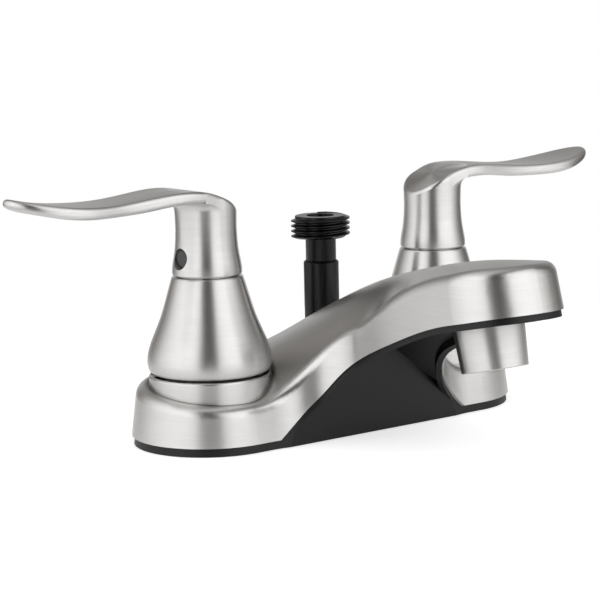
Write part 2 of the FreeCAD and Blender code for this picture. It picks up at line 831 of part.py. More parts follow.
def main():
    shapes = {name: make() for name, make in central_pieces.items()}
    for side, word in ((-1, "left"), (1, "right")):
        for name, make in handle_pieces.items():
            shapes["%s_%s" % (word, name)] = beside(make, side)
    for name, make in diverter_pieces.items():
        shapes[name] = leaning(make)
    for name, shape in shapes.items():
        shape.exportStep("parts/%s.step" % name)
        print(name, round(shape.Volume), "valid" if shape.isValid() else "NOT VALID", len(shape.Solids), "solids")


main()
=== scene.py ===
# %% [markdown]
# # Dressing a centerset bathroom faucet
#
# The solids of this faucet arrive finished: shell, handles, bells, valves and diverter.
# This lesson gives them their surfaces, cuts the hose thread that the solids leave plain, winds the
# diverter's spring, and sets up a camera and a small product studio in which satin nickel looks like
# satin nickel.

# %% Load the solids
import json
import math

import bpy
from mathutils import Matrix, Vector


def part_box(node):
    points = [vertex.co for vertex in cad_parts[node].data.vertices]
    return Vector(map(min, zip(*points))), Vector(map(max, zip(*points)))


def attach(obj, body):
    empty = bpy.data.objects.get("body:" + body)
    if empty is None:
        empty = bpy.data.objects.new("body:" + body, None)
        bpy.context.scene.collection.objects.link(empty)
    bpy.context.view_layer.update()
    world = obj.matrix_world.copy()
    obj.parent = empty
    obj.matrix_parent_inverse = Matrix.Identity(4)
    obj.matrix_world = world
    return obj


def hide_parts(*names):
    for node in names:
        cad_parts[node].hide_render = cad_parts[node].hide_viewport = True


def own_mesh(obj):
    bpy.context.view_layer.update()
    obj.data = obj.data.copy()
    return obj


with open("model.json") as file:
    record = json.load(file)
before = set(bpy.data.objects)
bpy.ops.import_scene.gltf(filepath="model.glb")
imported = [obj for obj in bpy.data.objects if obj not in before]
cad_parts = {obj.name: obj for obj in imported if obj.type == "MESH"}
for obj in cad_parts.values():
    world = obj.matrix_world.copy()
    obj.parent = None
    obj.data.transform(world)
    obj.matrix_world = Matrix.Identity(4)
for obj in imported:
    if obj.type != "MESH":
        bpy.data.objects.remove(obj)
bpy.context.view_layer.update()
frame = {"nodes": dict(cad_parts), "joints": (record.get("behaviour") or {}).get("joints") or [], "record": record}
nodes = frame["nodes"]
print("solids:", len(nodes))

# %% [markdown]
# ## Measures that everything else is worked out from
#
# Blender works in metres. Sizes on the faucet are written in millimetres times `mm`, and those of the
# studio in metres. The axes of the two handles come from the joints, and the leaning axis of the
# outlet is the direction in which the diverter collar slides.

# %% Named measures
mm = 0.001
joints = {joint["name"]: joint for joint in frame["joints"]}
left_axis = Vector(joints["left_handle_turn"]["pos_m"])
right_axis = Vector(joints["right_handle_turn"]["pos_m"])
up = Vector((0, 0, 1))
outlet_axis = -Vector(joints["diverter_pull"]["axis"]).normalized()


def middle(node):
    """The centre of a solid's box."""
    low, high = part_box(node)
    return (low + high) / 2


outlet_point = middle("diverter_collar")
print("handle axes at x =", left_axis.x, right_axis.x, " outlet near", outlet_point)

# %% [markdown]
# ## The camera
#
# The photograph looks from the front left, a little above the deck, through a long lens. A camera
# can be aimed at a point with a constraint, but this one also has a slight roll. So its own axes are
# built from its azimuth, elevation and roll, and nothing has to be aimed.

# %% Camera
view_azimuth = math.radians(-37.15)
view_elevation = math.radians(8.94)
view_roll = math.radians(-1.23)
focal_length = 123.96
camera_place = Vector((-0.4469, -0.5748, 0.1579))

back = Vector((
    math.sin(view_azimuth) * math.cos(view_elevation),
    -math.cos(view_azimuth) * math.cos(view_elevation),
    math.sin(view_elevation),
))
level_right = Vector((math.cos(view_azimuth), math.sin(view_azimuth), 0))
level_up = back.cross(level_right)
right = math.cos(view_roll) * level_right + math.sin(view_roll) * level_up
upright = math.cos(view_roll) * level_up - math.sin(view_roll) * level_right

camera_data = bpy.data.cameras.new("camera")
camera_data.lens = focal_length
camera_data.sensor_width = 36.0
camera_data.clip_start = 0.01
camera_data.clip_end = 50.0
camera = bpy.data.objects.new("camera", camera_data)
camera.matrix_world = Matrix((
    (right.x, upright.x, back.x, camera_place.x),
    (right.y, upright.y, back.y, camera_place.y),
    (right.z, upright.z, back.z, camera_place.z),
    (0, 0, 0, 1),
))
bpy.context.scene.collection.objects.link(camera)
bpy.context.scene.camera = camera
print("camera at", camera_place, "lens", focal_length)

# %% [markdown]
# ## Small helpers
#
# Colours are written as the hex values that a paint program shows, and Blender's shaders work in
# linear light, so one function converts them. Another adds a node: its settings are keyword
# arguments, and each of its inputs is a plain value, another node's output, or just another node.
# A node such as Mix has sockets for numbers, vectors and colours under the same names, and hides
# those that its settings don't need, so the helpers look for a socket among the ones in use.

# %% Helpers for colours and nodes
white = "#FFFFFF"
black = "#000000"


def linear(hex_colour):
    """Linear red, green, blue and alpha of an sRGB hex colour."""
    channels = [int(hex_colour[i:i + 2], 16) / 255 for i in (1, 3, 5)]
    return tuple(c / 12.92 if c <= 0.04045 else ((c + 0.055) / 1.055) ** 2.4 for c in channels) + (1.0,)


def in_use(sockets, name):
    """The socket with this name or number, among those that the node's settings leave in use."""
    shown = [socket for socket in sockets if socket.enabled]
    if isinstance(name, int):
        return shown[name]
    return next(socket for socket in shown if socket.name == name)


def set_inputs(tree, node, inputs):
    """An input gets a plain value, an output to link, or a node whose first output is linked."""
    for name, value in inputs.items():
        if isinstance(value, bpy.types.Node):
            value = in_use(value.outputs, 0)
        if isinstance(value, bpy.types.NodeSocket):
            tree.links.new(value, in_use(node.inputs, name))
        else:
            in_use(node.inputs, name).default_value = value


def add(tree, kind, inputs=None, **settings):
    """A new node with its settings and inputs."""
    node = tree.nodes.new(kind)
    for name, value in settings.items():
        setattr(node, name, value)
    set_inputs(tree, node, inputs or {})
    return node


def new_material(name):
    """An empty material with its output and a Principled shader."""
    material = bpy.data.materials.new(name)
    material.use_nodes = True
    tree = material.node_tree
    tree.nodes.clear()
    shader = add(tree, "ShaderNodeBsdfPrincipled")
    add(tree, "ShaderNodeOutputMaterial", {"Surface": shader})
    return material, tree, shader


# %% [markdown]
# ## The studio
#
# Satin metal shows its surroundings more than itself. In the photograph every upright surface has
# two broad bright sides with a narrow dark stripe between them, where it faces the camera, and its
# silhouettes are dark. That is a light tent: white cloth round the object, brightest left and right
# of the camera, with a dark slit for the lens and a dim back. A tent could be hung from several
# lamps and cards, but one round cloth that glows by its bearing gives the same soft edges with a
# single list of numbers. The cloth stays out of the camera's sight, so the world shows, which is
# white for the camera and in reflections and otherwise a plain fill. The floor glows for the camera
# until it looks as white, and less in reflections, where it would wash out the metal.

# %% World
fill_strength = 0.55
backdrop_strength = 1.0
world = bpy.data.worlds.new("studio_world")
world.use_nodes = True
bpy.context.scene.world = world
sky = world.node_tree
sky.nodes.clear()


def background_rays(tree, in_camera, in_reflection):
    """How white the background is for a ray from the camera, and for one from a reflection or glass."""
    rays = add(tree, "ShaderNodeLightPath").outputs
    mirrored = add(tree, "ShaderNodeMath", {0: rays["Is Glossy Ray"], 1: rays["Is Transmission Ray"]},
                   operation="MAXIMUM")
    mirrored = add(tree, "ShaderNodeMath", {0: mirrored, 1: in_reflection}, operation="MULTIPLY")
    return add(tree, "ShaderNodeMath", {0: rays["Is Camera Ray"], 1: in_camera, 2: mirrored},
               operation="MULTIPLY_ADD")


fill_light = add(sky, "ShaderNodeBackground", {"Color": linear(white), "Strength": fill_strength})
backdrop_light = add(sky, "ShaderNodeBackground", {"Color": linear(white), "Strength": backdrop_strength})
shows_backdrop = background_rays(sky, 1.0, 1.0)
sky_mix = add(sky, "ShaderNodeMixShader", {0: shows_backdrop, 1: fill_light, 2: backdrop_light})
add(sky, "ShaderNodeOutputWorld", {"Surface": sky_mix})
print("world: fill", fill_strength, "backdrop", backdrop_strength)

# %% Floor
floor_radius = 0.28
floor_sides = 128
floor_drop = 0.2 * mm
floor_glow = 0.6
floor_glow_in_reflections = 0.22
studio_centre = Vector((0, -0.03, 0.05))
bpy.ops.object.select_all(action="DESELECT")
bpy.ops.mesh.primitive_circle_add(vertices=floor_sides, radius=floor_radius, fill_type="NGON",
                                  location=(studio_centre.x, studio_centre.y, -floor_drop))
floor = bpy.context.object
floor.name = "floor"
floor_paint, tree, shader = new_material("pale_floor")
set_inputs(tree, shader, {
    "Base Color": linear("#F4F4F4"),
    "Roughness": 0.9,
    "Emission Color": linear(white),
    "Emission Strength": background_rays(tree, floor_glow, floor_glow_in_reflections),
})
floor.data.materials.append(floor_paint)
print("floor:", 2 * floor_radius, "m across")

# %% The light tent's measures
# Each pair is a bearing in degrees, counted to the right from the camera, and the cloth's light there.
tent_light = (
    (-180, 0.26), (-158, 0.20), (-138, 0.20), (-122, 0.42), (-106, 0.82), (-90, 1.16),
    (-60, 1.42), (-34, 1.40), (-23, 1.10), (-13, 0.10), (-7, 0.01),
    (7, 0.01), (13, 0.10), (22, 1.06), (34, 1.42), (64, 1.46),
    (82, 1.24), (97, 0.76), (112, 0.34), (128, 0.16), (158, 0.18), (180, 0.26),
)
tent_radius = 1.8
tent_top_light = 0.36
tent_foot_light = 0.5
# Cloth that is dimmer than this turns warm, as it loses a little green and twice as much blue.
warm_below = 0.8
green_loss = 0.07
blue_loss = 0.14
# Heights at which the light changes, and bearings between which the backdrop comes in.
top_begins = 0.80 * tent_radius
top_is_full = 0.97 * tent_radius
foot = -0.6 * tent_radius
backdrop_in_reflections = 0.62
backdrop_is_full_below = 0.22 * tent_radius
backdrop_ends = 0.55 * tent_radius
backdrop_begins_at = 138
backdrop_is_full_at = 164


def turn_share(angle):
    """Where a bearing in degrees lies on the way from -180, at 0, to 180, at 1."""
    return (angle + 180) / 360


def grey(strength):
    """An even light of this strength."""
    return (strength, strength, strength, 1)


# %% Light tent
bpy.ops.object.select_all(action="DESELECT")
bpy.ops.mesh.primitive_uv_sphere_add(segments=48, ring_count=24, radius=tent_radius,
                                     location=studio_centre, rotation=(0, 0, view_azimuth))
tent = bpy.context.object
tent.name = "light_tent"
tent_cloth, tree, shader = new_material("lit_tent_cloth")
print("light tent:", 2 * tent_radius, "m across")

# %% The tent's light by bearing
place = add(tree, "ShaderNodeTexCoord").outputs["Object"]
place = add(tree, "ShaderNodeSeparateXYZ", {0: place}).outputs
towards_camera = add(tree, "ShaderNodeMath", {0: place["Y"], 1: -1.0}, operation="MULTIPLY")
bearing = add(tree, "ShaderNodeMath", {0: place["X"], 1: towards_camera}, operation="ARCTAN2")
round_tent = add(tree, "ShaderNodeMapRange", {
    "Value": bearing, "From Min": -math.pi, "From Max": math.pi,
})
cloth = add(tree, "ShaderNodeValToRGB", {0: round_tent})
stops = cloth.color_ramp.elements
for angle, _ in tent_light[1:-1]:
    stops.new(turn_share(angle))
for stop, (angle, strength) in zip(stops, tent_light):
    stop.position = turn_share(angle)
    dimness = max(0, 1 - strength / warm_below)
    stop.color = (strength, strength * (1 - green_loss * dimness), strength * (1 - blue_loss * dimness), 1)
print("the light changes at", len(stops), "bearings")

# %% The tent's light by height
upwards = add(tree, "ShaderNodeMapRange", {
    "Value": place["Z"], "From Min": top_begins, "From Max": top_is_full,
}, interpolation_type="SMOOTHSTEP")
light = add(tree, "ShaderNodeMix", {"Factor": upwards, "A": cloth, "B": grey(tent_top_light)},
            data_type="RGBA")
# A white backdrop would stand low behind the object, where the spout's top reflects it, so the
# cloth is lighter there.
behind = add(tree, "ShaderNodeMath", {0: round_tent, 1: turn_share(0)}, operation="SUBTRACT")
behind = add(tree, "ShaderNodeMath", {0: behind}, operation="ABSOLUTE")
behind = add(tree, "ShaderNodeMapRange", {
    "Value": behind, "From Min": backdrop_begins_at / 360, "From Max": backdrop_is_full_at / 360,
}, interpolation_type="SMOOTHSTEP")
low = add(tree, "ShaderNodeMapRange", {
    "Value": place["Z"], "From Min": backdrop_is_full_below, "From Max": backdrop_ends,
    "To Min": 1.0, "To Max": 0.0,
}, interpolation_type="SMOOTHSTEP")
backdrop = add(tree, "ShaderNodeMath", {0: behind, 1: low}, operation="MULTIPLY")
light = add(tree, "ShaderNodeMix", {"Factor": backdrop, "A": light, "B": grey(backdrop_in_reflections)},
            data_type="RGBA")
downwards = add(tree, "ShaderNodeMapRange", {
    "Value": place["Z"], "From Min": foot, "From Max": 0.0, "To Min": tent_foot_light, "To Max": 1.0,
})
print("the tent's top dims from", round(top_begins, 2), "to", round(top_is_full, 2), "m above its centre")

# %% The cloth onto the tent
set_inputs(tree, shader, {
    "Base Color": linear(black),
    "Specular IOR Level": 0.0,
    "Emission Color": light,
    "Emission Strength": downwards,
})
tent.data.materials.append(tent_cloth)
tent.visible_camera = False

# %% [markdown]
# ## Satin nickel
#
# The shell, bells, handles and collar are zinc and brass castings, plated with nickel and then
# brushed. Brushing leaves fine parallel scratches that run level round walls, along the spout on its
# top and along each lever. Across the scratches a reflection is smeared wide, and along them it
# stays tight. Deep relief alone could do that, but it turns to noise in a small picture. So the
# Anisotropic value and the Tangent of the shader do the smearing, and the scratches only shift the
# colour, gloss and relief a little. They are a noise that is stretched along the brush. Real ones
# are about 0.1 mm apart, too fine for a render of this size, so they are drawn 0.5 mm apart.

# %% Marks that shift a finish
noise_low = 0.3
noise_high = 0.7
noise_roughness = 0.6


def marks(tree, place, scale, detail):
    """Noise, mostly between noise_low and noise_high, with its own scale along X, Y and Z."""
    spread = add(tree, "ShaderNodeVectorMath", {0: place, 1: scale}, operation="MULTIPLY")
    return add(tree, "ShaderNodeTexNoise", {
        "Vector": spread, "Scale": 1.0, "Detail": detail, "Roughness": noise_roughness,
    })


def show_marks(tree, shader, pattern, colours, roughness, spread, depth):
    """Let a pattern shift the colour and the roughness a little, and show as relief of this depth."""
    contrast = add(tree, "ShaderNodeMapRange", {
        "Value": pattern, "From Min": noise_low, "From Max": noise_high,
    })
    colour = add(tree, "ShaderNodeMix", {
        "Factor": contrast, "A": linear(colours[0]), "B": linear(colours[1]),
    }, data_type="RGBA")
    gloss = add(tree, "ShaderNodeMapRange", {
        "Value": pattern, "From Min": noise_low, "From Max": noise_high,
        "To Min": roughness * (1 + spread), "To Max": roughness * (1 - spread),
    })
    relief = add(tree, "ShaderNodeBump", {"Height": pattern, "Strength": 1.0, "Distance": depth})
    set_inputs(tree, shader, {"Base Color": colour, "Roughness": gloss, "Normal": relief})


# %% Brushed nickel
nickel_colours = ("#D9D8D6", "#DEDDDC")
nickel_roughness = 0.34
nickel_roughness_spread = 0.06
nickel_anisotropy = 0.88
scratch_spacing = 0.5 * mm
scratch_length = 14 * mm
scratch_depth = 0.0008 * mm
scratch_detail = 2.0


def scratches(tree, place, long_axes):
    """Scratches that are long in the named axes and narrow in the others."""
    scale = [1 / (scratch_length if axis in long_axes else scratch_spacing) for axis in "XYZ"]
    return marks(tree, place, scale, scratch_detail)


def brushed(name, brush):
    """Satin nickel. The brush, a function, says which way it is brushed and gives its scratches."""
    material, tree, shader = new_material(name)
    place = add(tree, "ShaderNodeTexCoord").outputs
    direction, pattern = brush(tree, place["Object"], place["Normal"])
    across = add(tree, "ShaderNodeVectorMath", {0: place["Normal"], 1: direction},
                 operation="CROSS_PRODUCT")
    across = add(tree, "ShaderNodeVectorMath", {0: across}, operation="NORMALIZE")
    tangent = add(tree, "ShaderNodeVectorTransform", {0: across}, vector_type="VECTOR",
                  convert_from="OBJECT", convert_to="WORLD")
    show_marks(tree, shader, pattern, nickel_colours, nickel_roughness, nickel_roughness_spread,
               scratch_depth)
    set_inputs(tree, shader, {"Metallic": 1.0, "Anisotropic": nickel_anisotropy, "Tangent": tangent})
    return material


# %% The shell's brush
# How far a surface faces up, from 0 on a wall to 1 on a level top, where one brush gives way to
# the other.
wall_brush_ends = 0.52
top_brush_begins = 0.85


def level_brush(tree, place, normal):
    """Brushed level on walls, and along the spout where the surface faces up."""
    level = add(tree, "ShaderNodeVectorMath", {0: up, 1: normal}, operation="CROSS_PRODUCT")
    level = add(tree, "ShaderNodeVectorMath", {0: level}, operation="NORMALIZE")
    # With the level brush's sign, the two never point against each other where they blend.
    side = add(tree, "ShaderNodeVectorMath", {0: level}, operation="SIGN")
    lengthways = add(tree, "ShaderNodeVectorMath", {0: side, 1: (0, 1, 0)}, operation="MULTIPLY")
    tilt = add(tree, "ShaderNodeSeparateXYZ", {0: normal}).outputs["Z"]
    facing_up = add(tree, "ShaderNodeMapRange", {
        "Value": tilt, "From Min": wall_brush_ends, "From Max": top_brush_begins,
    }, interpolation_type="SMOOTHSTEP")
    direction = add(tree, "ShaderNodeMix", {"Factor": facing_up, "A": level, "B": lengthways},
                    data_type="VECTOR")
    pattern = add(tree, "ShaderNodeMix", {
        "Factor": facing_up, "A": scratches(tree, place, "XY"), "B": scratches(tree, place, "YZ"),
    })
    return direction, pattern


# %% The brushes of turned pieces and of levers
hub_brush_ends = 11.5 * mm
lever_brush_begins = 16 * mm


def turned_brush(point, axis):
    """Brushed round an axis through a point."""
    def brush(tree, place, normal):
        offset = add(tree, "ShaderNodeVectorMath", {0: place, 1: point}, operation="SUBTRACT")
        direction = add(tree, "ShaderNodeVectorMath", {0: axis, 1: offset}, operation="CROSS_PRODUCT")
        lean = up.rotation_difference(axis).inverted().to_euler()
        straightened = add(tree, "ShaderNodeMapping", {"Vector": offset, "Rotation": lean})
        return direction, scratches(tree, straightened, "XY")
    return brush


def lever_brush(point):
    """Brushed round the hub, whose axis goes through a point, and along the lever beyond it."""
    def brush(tree, place, normal):
        offset = add(tree, "ShaderNodeVectorMath", {0: place, 1: point}, operation="SUBTRACT")
        outwards = add(tree, "ShaderNodeVectorMath", {0: offset, 1: (1, 1, 0)}, operation="MULTIPLY")
        round_hub = add(tree, "ShaderNodeVectorMath", {0: up, 1: outwards}, operation="CROSS_PRODUCT")
        reach = add(tree, "ShaderNodeVectorMath", {0: outwards}, operation="LENGTH")
        on_lever = add(tree, "ShaderNodeMapRange", {
            "Value": reach, "From Min": hub_brush_ends, "From Max": lever_brush_begins,
        }, interpolation_type="SMOOTHSTEP")
        direction = add(tree, "ShaderNodeMix", {"Factor": on_lever, "A": round_hub, "B": outwards},
                        data_type="VECTOR")
        pattern = add(tree, "ShaderNodeMix", {
            "Factor": on_lever, "A": scratches(tree, place, "XY"), "B": scratches(tree, place, "X"),
        })
        return direction, pattern
    return brush


# %% The nickel pieces
materials = {
    "brushed_nickel": brushed("satin_nickel_shell", level_brush),
    "nickel_collar": brushed("satin_nickel_collar", turned_brush(outlet_point, outlet_axis)),
}
for side, axis_point in (("left", left_axis), ("right", right_axis)):
    materials["turned_nickel", side] = brushed("satin_nickel_bell_" + side, turned_brush(axis_point, up))
    materials["cast_nickel", side] = brushed("satin_nickel_handle_" + side, lever_brush(axis_point))
print("satin nickel:", len(materials), "materials, scratches", scratch_spacing / mm, "mm apart")

# %% Painted shade in the corner round each pad
# Painted shade: the nickel darkens in a narrow band round each pad's foot, for the shade in the crease.
corner_shade_colour = "#6E6A66"
pad_radius = 21.0 * mm
corner_shade_begins = pad_radius + 0.02 * mm
corner_shade_is_full = pad_radius + 0.08 * mm
corner_shade_ends = pad_radius + 2.4 * mm


def darken(material, mask, dark_colour):
    """Blend a finish's own colour into a darker one as the mask goes from 0 to 1."""
    tree = material.node_tree
    shader = tree.nodes["Principled BSDF"]
    own_colour = shader.inputs["Base Color"].links[0].from_socket
    colour = add(tree, "ShaderNodeMix", {"Factor": mask, "A": own_colour, "B": linear(dark_colour)},
                 data_type="RGBA")
    set_inputs(tree, shader, {"Base Color": colour})


# Without its sign, a place on the left is the same as its mirror image on the right, so one mask
# serves both pads.
tree = materials["brushed_nickel"].node_tree
place = add(tree, "ShaderNodeTexCoord").outputs["Object"]
place = add(tree, "ShaderNodeVectorMath", {0: place}, operation="ABSOLUTE")
place = add(tree, "ShaderNodeVectorMath", {0: place, 1: (1, 1, 0)}, operation="MULTIPLY")
reach = add(tree, "ShaderNodeVectorMath", {0: place, 1: (right_axis.x, 0, 0)}, operation="DISTANCE")
outside = add(tree, "ShaderNodeMapRange", {
    "Value": reach, "From Min": corner_shade_begins, "From Max": corner_shade_is_full,
})
near = add(tree, "ShaderNodeMapRange", {
    "Value": reach, "From Min": pad_radius, "From Max": corner_shade_ends, "To Min": 1.0, "To Max": 0.0,
}, interpolation_type="SMOOTHSTEP")
corner_shade = add(tree, "ShaderNodeMath", {0: outside, 1: near}, operation="MULTIPLY")
darken(materials["brushed_nickel"], corner_shade, corner_shade_colour)
print("pad corners darkened up to", round(corner_shade_ends / mm, 1), "mm from each handle's axis")

# %% [markdown]
# ## Moulded, cast and machined finishes
#
# What is not plated keeps the mark of how it was made. A moulding has the faint grain of its steel
# mould, a casting the lumps of its sand, and a turned or drawn part has fine lines in one direction.
# Each could have its own tree of nodes, but all are one noise of a certain size that moves the
# colour, the gloss and the relief a little, so one function makes them and the sizes differ. The
# grain of a mould is about 0.1 mm wide, and it is drawn three to nine times as coarse, so that it
# shows.

# %% One function for grain
# How the grain is scaled along X, Y and Z: evenly, or as level lines 20 times as long as wide.
everywhere = (1, 1, 1)
level_lines = (0.05, 0.05, 1)
grain_detail = 3.0
grain_roughness_spread = 0.12


def grained(name, colours, roughness, spacing, depth, stretch=everywhere, metallic=0.0, specular=0.5):
    """A finish whose grain shifts between two colours. Grain spacing and depth are lengths."""
    material, tree, shader = new_material(name)
    place = add(tree, "ShaderNodeTexCoord").outputs["Object"]
    grain = marks(tree, place, [factor / spacing for factor in stretch], grain_detail)
    show_marks(tree, shader, grain, colours, roughness, grain_roughness_spread, depth)
    set_inputs(tree, shader, {"Metallic": metallic, "Specular IOR Level": specular})
    return material


# %% Black and white plastics
# Moulded ABS: deep black with a soft sheen, a little grey where the mould was blasted.
materials["black_underbody"] = grained(
    "moulded_abs", ("#070708", "#0D0D0E"), roughness=0.40, spacing=0.5 * mm, depth=0.002 * mm,
    specular=0.42)
# Moulded acetal: harder and glossier, with the slightly uneven skin of a thick moulding.
materials["black_riser"] = grained(
    "moulded_acetal", ("#030303", "#0A0A0B"), roughness=0.24, spacing=0.9 * mm, depth=0.012 * mm,
    specular=0.32)
# Glass-filled nylon: matt, because the fibres end in its skin.
materials["black_nylon"] = grained(
    "filled_nylon", ("#101010", "#1A1A1A"), roughness=0.58, spacing=0.4 * mm, depth=0.006 * mm)
# Natural acetal: a waxy, nearly even off-white.
materials["white_plastic"] = grained(
    "natural_acetal", ("#D6D6D1", "#DFDFDA"), roughness=0.38, spacing=0.8 * mm, depth=0.002 * mm)
# Tinted acetal: the same skin in a pale grey.
materials["aerator_plastic"] = grained(
    "grey_acetal", ("#B2B2AE", "#BDBDB9"), roughness=0.38, spacing=0.8 * mm, depth=0.002 * mm)
print("finishes with the plastics:", len(materials))

# %% Brass, ceramic, rubber and steel
# Sand-cast brass: dull yellow with the lumps of the mould.
materials["cast_brass"] = grained(
    "cast_brass", ("#9C8142", "#BC9A52"), roughness=0.52, spacing=0.9 * mm, depth=0.03 * mm,
    metallic=1.0)
# Turned brass: bright, with level feed marks.
materials["machined_brass"] = grained(
    "turned_brass", ("#C4A257", "#D3B164"), roughness=0.28, spacing=0.35 * mm, depth=0.002 * mm,
    stretch=level_lines, metallic=1.0)
# Lapped alumina: a smooth warm white, almost without grain.
materials["valve_ceramic"] = grained(
    "lapped_alumina", ("#E6E2D8", "#EDEAE1"), roughness=0.22, spacing=0.5 * mm, depth=0.0005 * mm)
# Moulded nitrile rubber: black, matt, with a dusty bloom.
materials["seal_rubber"] = grained(
    "nitrile_rubber", ("#111111", "#1C1C1C"), roughness=0.62, spacing=0.4 * mm, depth=0.004 * mm)
# Drawn stainless steel: bright, with fine lines from the die.
materials["spring_steel"] = grained(
    "drawn_stainless_steel", ("#A4A4A2", "#B2B2B0"), roughness=0.3, spacing=0.3 * mm,
    depth=0.002 * mm, stretch=level_lines, metallic=1.0)
# Zinc plate: bluish and a little cloudy.
materials["screw_steel"] = grained(
    "zinc_plate", ("#A9ACB1", "#BEC1C6"), roughness=0.36, spacing=0.7 * mm, depth=0.002 * mm,
    metallic=1.0)
print("finishes with the metals, ceramic and rubber:", len(materials))

# %% [markdown]
# ## The index buttons
#
# The button in each hub is a moulded disc in a dark grey. In the photograph its middle is lighter
# than its edge, because the edge lies in a recess. A recess this shallow would hardly darken in the
# render, so the colour goes by the distance from the button's own centre.

# %% Index buttons
button_low, button_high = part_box("left_index_plug")
button_radius = (button_high.z - button_low.z) / 2
edge_shade_begins = 0.70 * button_radius
edge_shade_is_full = 0.84 * button_radius
for side in ("left", "right"):
    paint = grained("moulded_button_" + side, ("#444445", "#4C4C4D"), roughness=0.45,
                    spacing=0.5 * mm, depth=0.002 * mm)
    tree = paint.node_tree
    place = add(tree, "ShaderNodeTexCoord").outputs["Object"]
    reach = add(tree, "ShaderNodeVectorMath", {0: place, 1: middle(side + "_index_plug")},
                operation="DISTANCE")
    edge_shade = add(tree, "ShaderNodeMapRange", {
        "Value": reach, "From Min": edge_shade_begins, "From Max": edge_shade_is_full,
    }, interpolation_type="SMOOTHSTEP")
    # Painted shade: the button's edge is darkened for the shade of the recess it lies in.
    darken(paint, edge_shade, "#0C0C0C")
    materials["index_plastic", side] = paint
print("index buttons:", round(2 * button_radius / mm, 1), "mm across")

# %% [markdown]
# ## Materials onto the solids
#
# The record names a slot for each solid, such as brushed nickel or seal rubber. A slot could be one
# material everywhere, but a brush that runs round an axis has to know which axis. So the bells,
# handles and buttons have one material for each side, and all others have one for the slot.

# %% Materials onto the solids
slot_of = {row["node"]: row["material_slot"] for row in frame["record"]["subparts"]}
for name, node in nodes.items():
    slot = slot_of[name]
    side = name.split("_")[0]
    paint = materials[slot, side] if (slot, side) in materials else materials[slot]
    node.data.materials.clear()
    node.data.materials.append(paint)
print("slots dressed:", len(set(slot_of.values())))

# %% [markdown]
# ## The hose thread
#
# A shower hose screws onto the top of the riser. The solids leave its thread as a plain drum, so
# this piece takes the drum's place. Relief in the material could suggest a thread, but its edge
# against the background would stay straight. So the body is turned: a circle is extruded and resized
# along the outline. The thread is a small wedge that the Screw modifier winds up round the body.
# A moulded thread runs out at both ends, so the ends of the wound ridge are pulled down into the
# body. A Boolean then joins the two, so that the printed part is one closed skin.

# %% Helpers for modifiers and edit mode
def apply_modifier(piece, kind, name, **settings):
    """Add a modifier, set it and apply it."""
    modifier = piece.modifiers.new(name, kind)
    for key, value in settings.items():
        setattr(modifier, key, value)
    bpy.context.view_layer.objects.active = piece
    bpy.ops.object.modifier_apply(modifier=modifier.name)


def select_points(piece, is_chosen):
    """Go to edit mode with just those points selected for which the given test is true."""
    bpy.ops.object.mode_set(mode="EDIT")
    bpy.ops.mesh.select_mode(type="VERT")
    bpy.ops.mesh.select_all(action="DESELECT")
    bpy.ops.object.mode_set(mode="OBJECT")
    for point in piece.data.vertices:
        point.select = is_chosen(point)
    bpy.ops.object.mode_set(mode="EDIT")


def face_outwards():
    """Turn the faces of the active piece outwards, and leave edit mode."""
    bpy.ops.object.mode_set(mode="EDIT")
    bpy.ops.mesh.select_all(action="SELECT")
    bpy.ops.mesh.normals_make_consistent(inside=False)
    bpy.ops.object.mode_set(mode="OBJECT")


# %% A helper for turned rings
ring_sides = 128


def turned_ring(name, outline, centre):
    """A closed ring: one circle, extruded and resized along an outline of (radius, height)."""
    radius, height = outline[0]
    bpy.ops.object.select_all(action="DESELECT")
    bpy.ops.mesh.primitive_circle_add(vertices=ring_sides, radius=radius, fill_type="NOTHING",
                                      location=(centre.x, centre.y, height))
    piece = bpy.context.object
    piece.name = name
    bpy.ops.object.mode_set(mode="EDIT")
    bpy.ops.mesh.select_all(action="SELECT")
    for next_radius, next_height in outline[1:]:
        bpy.ops.mesh.extrude_region_move(TRANSFORM_OT_translate={"value": (0, 0, next_height - height)})
        wider = next_radius / radius
        bpy.ops.transform.resize(value=(wider, wider, 1),
                                 center_override=(centre.x, centre.y, next_height))
        radius, height = next_radius, next_height
    bpy.ops.mesh.select_all(action="SELECT")
    bpy.ops.mesh.region_to_loop()
    bpy.ops.mesh.bridge_edge_loops()
    face_outwards()
    bpy.ops.object.transform_apply(location=True, rotation=True, scale=True)
    return piece


# %% Body of the threaded end
nipple_low, nipple_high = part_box("hose_nipple")
nipple_axis = Vector((nipple_low.x + nipple_high.x, nipple_low.y + nipple_high.y, 0)) / 2
crest_radius = (nipple_high.x - nipple_low.x) / 2
tail_foot = nipple_low.z
nipple_top = nipple_high.z
thread_depth = 1.42 * mm
thread_pitch = 1.814 * mm
thread_length = 7.8 * mm
root_radius = crest_radius - thread_depth
neck_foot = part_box("riser_tube")[1].z
thread_foot = nipple_top - thread_length
tail_radius = 4.45 * mm
neck_radius = 5.4 * mm
bore_radius = 4.85 * mm
through_radius = 3.2 * mm
bore_depth = 10 * mm
cone_depth = 2 * mm
edge_round = 0.25 * mm
foot_slope = 2 * edge_round

nipple = turned_ring("hose_thread", [
    (through_radius, tail_foot),
    (tail_radius, tail_foot),
    (tail_radius, neck_foot),
    (neck_radius, neck_foot),
    (neck_radius, thread_foot),
    (root_radius - foot_slope, thread_foot),
    (root_radius, thread_foot + foot_slope),
    (root_radius, nipple_top - edge_round),
    (root_radius - edge_round, nipple_top),
    (bore_radius + edge_round, nipple_top),
    (bore_radius, nipple_top - edge_round),
    (bore_radius, nipple_top - bore_depth),
    (through_radius, nipple_top - bore_depth - cone_depth),
], nipple_axis)
print("threaded end:", len(nipple.data.vertices), "points before its thread")

# %% The ridge's outline
ridge_foot_width = 1.66 * mm
ridge_crest_width = 0.40 * mm
ridge_sink = 0.20 * mm
ridge_height = thread_depth + ridge_sink

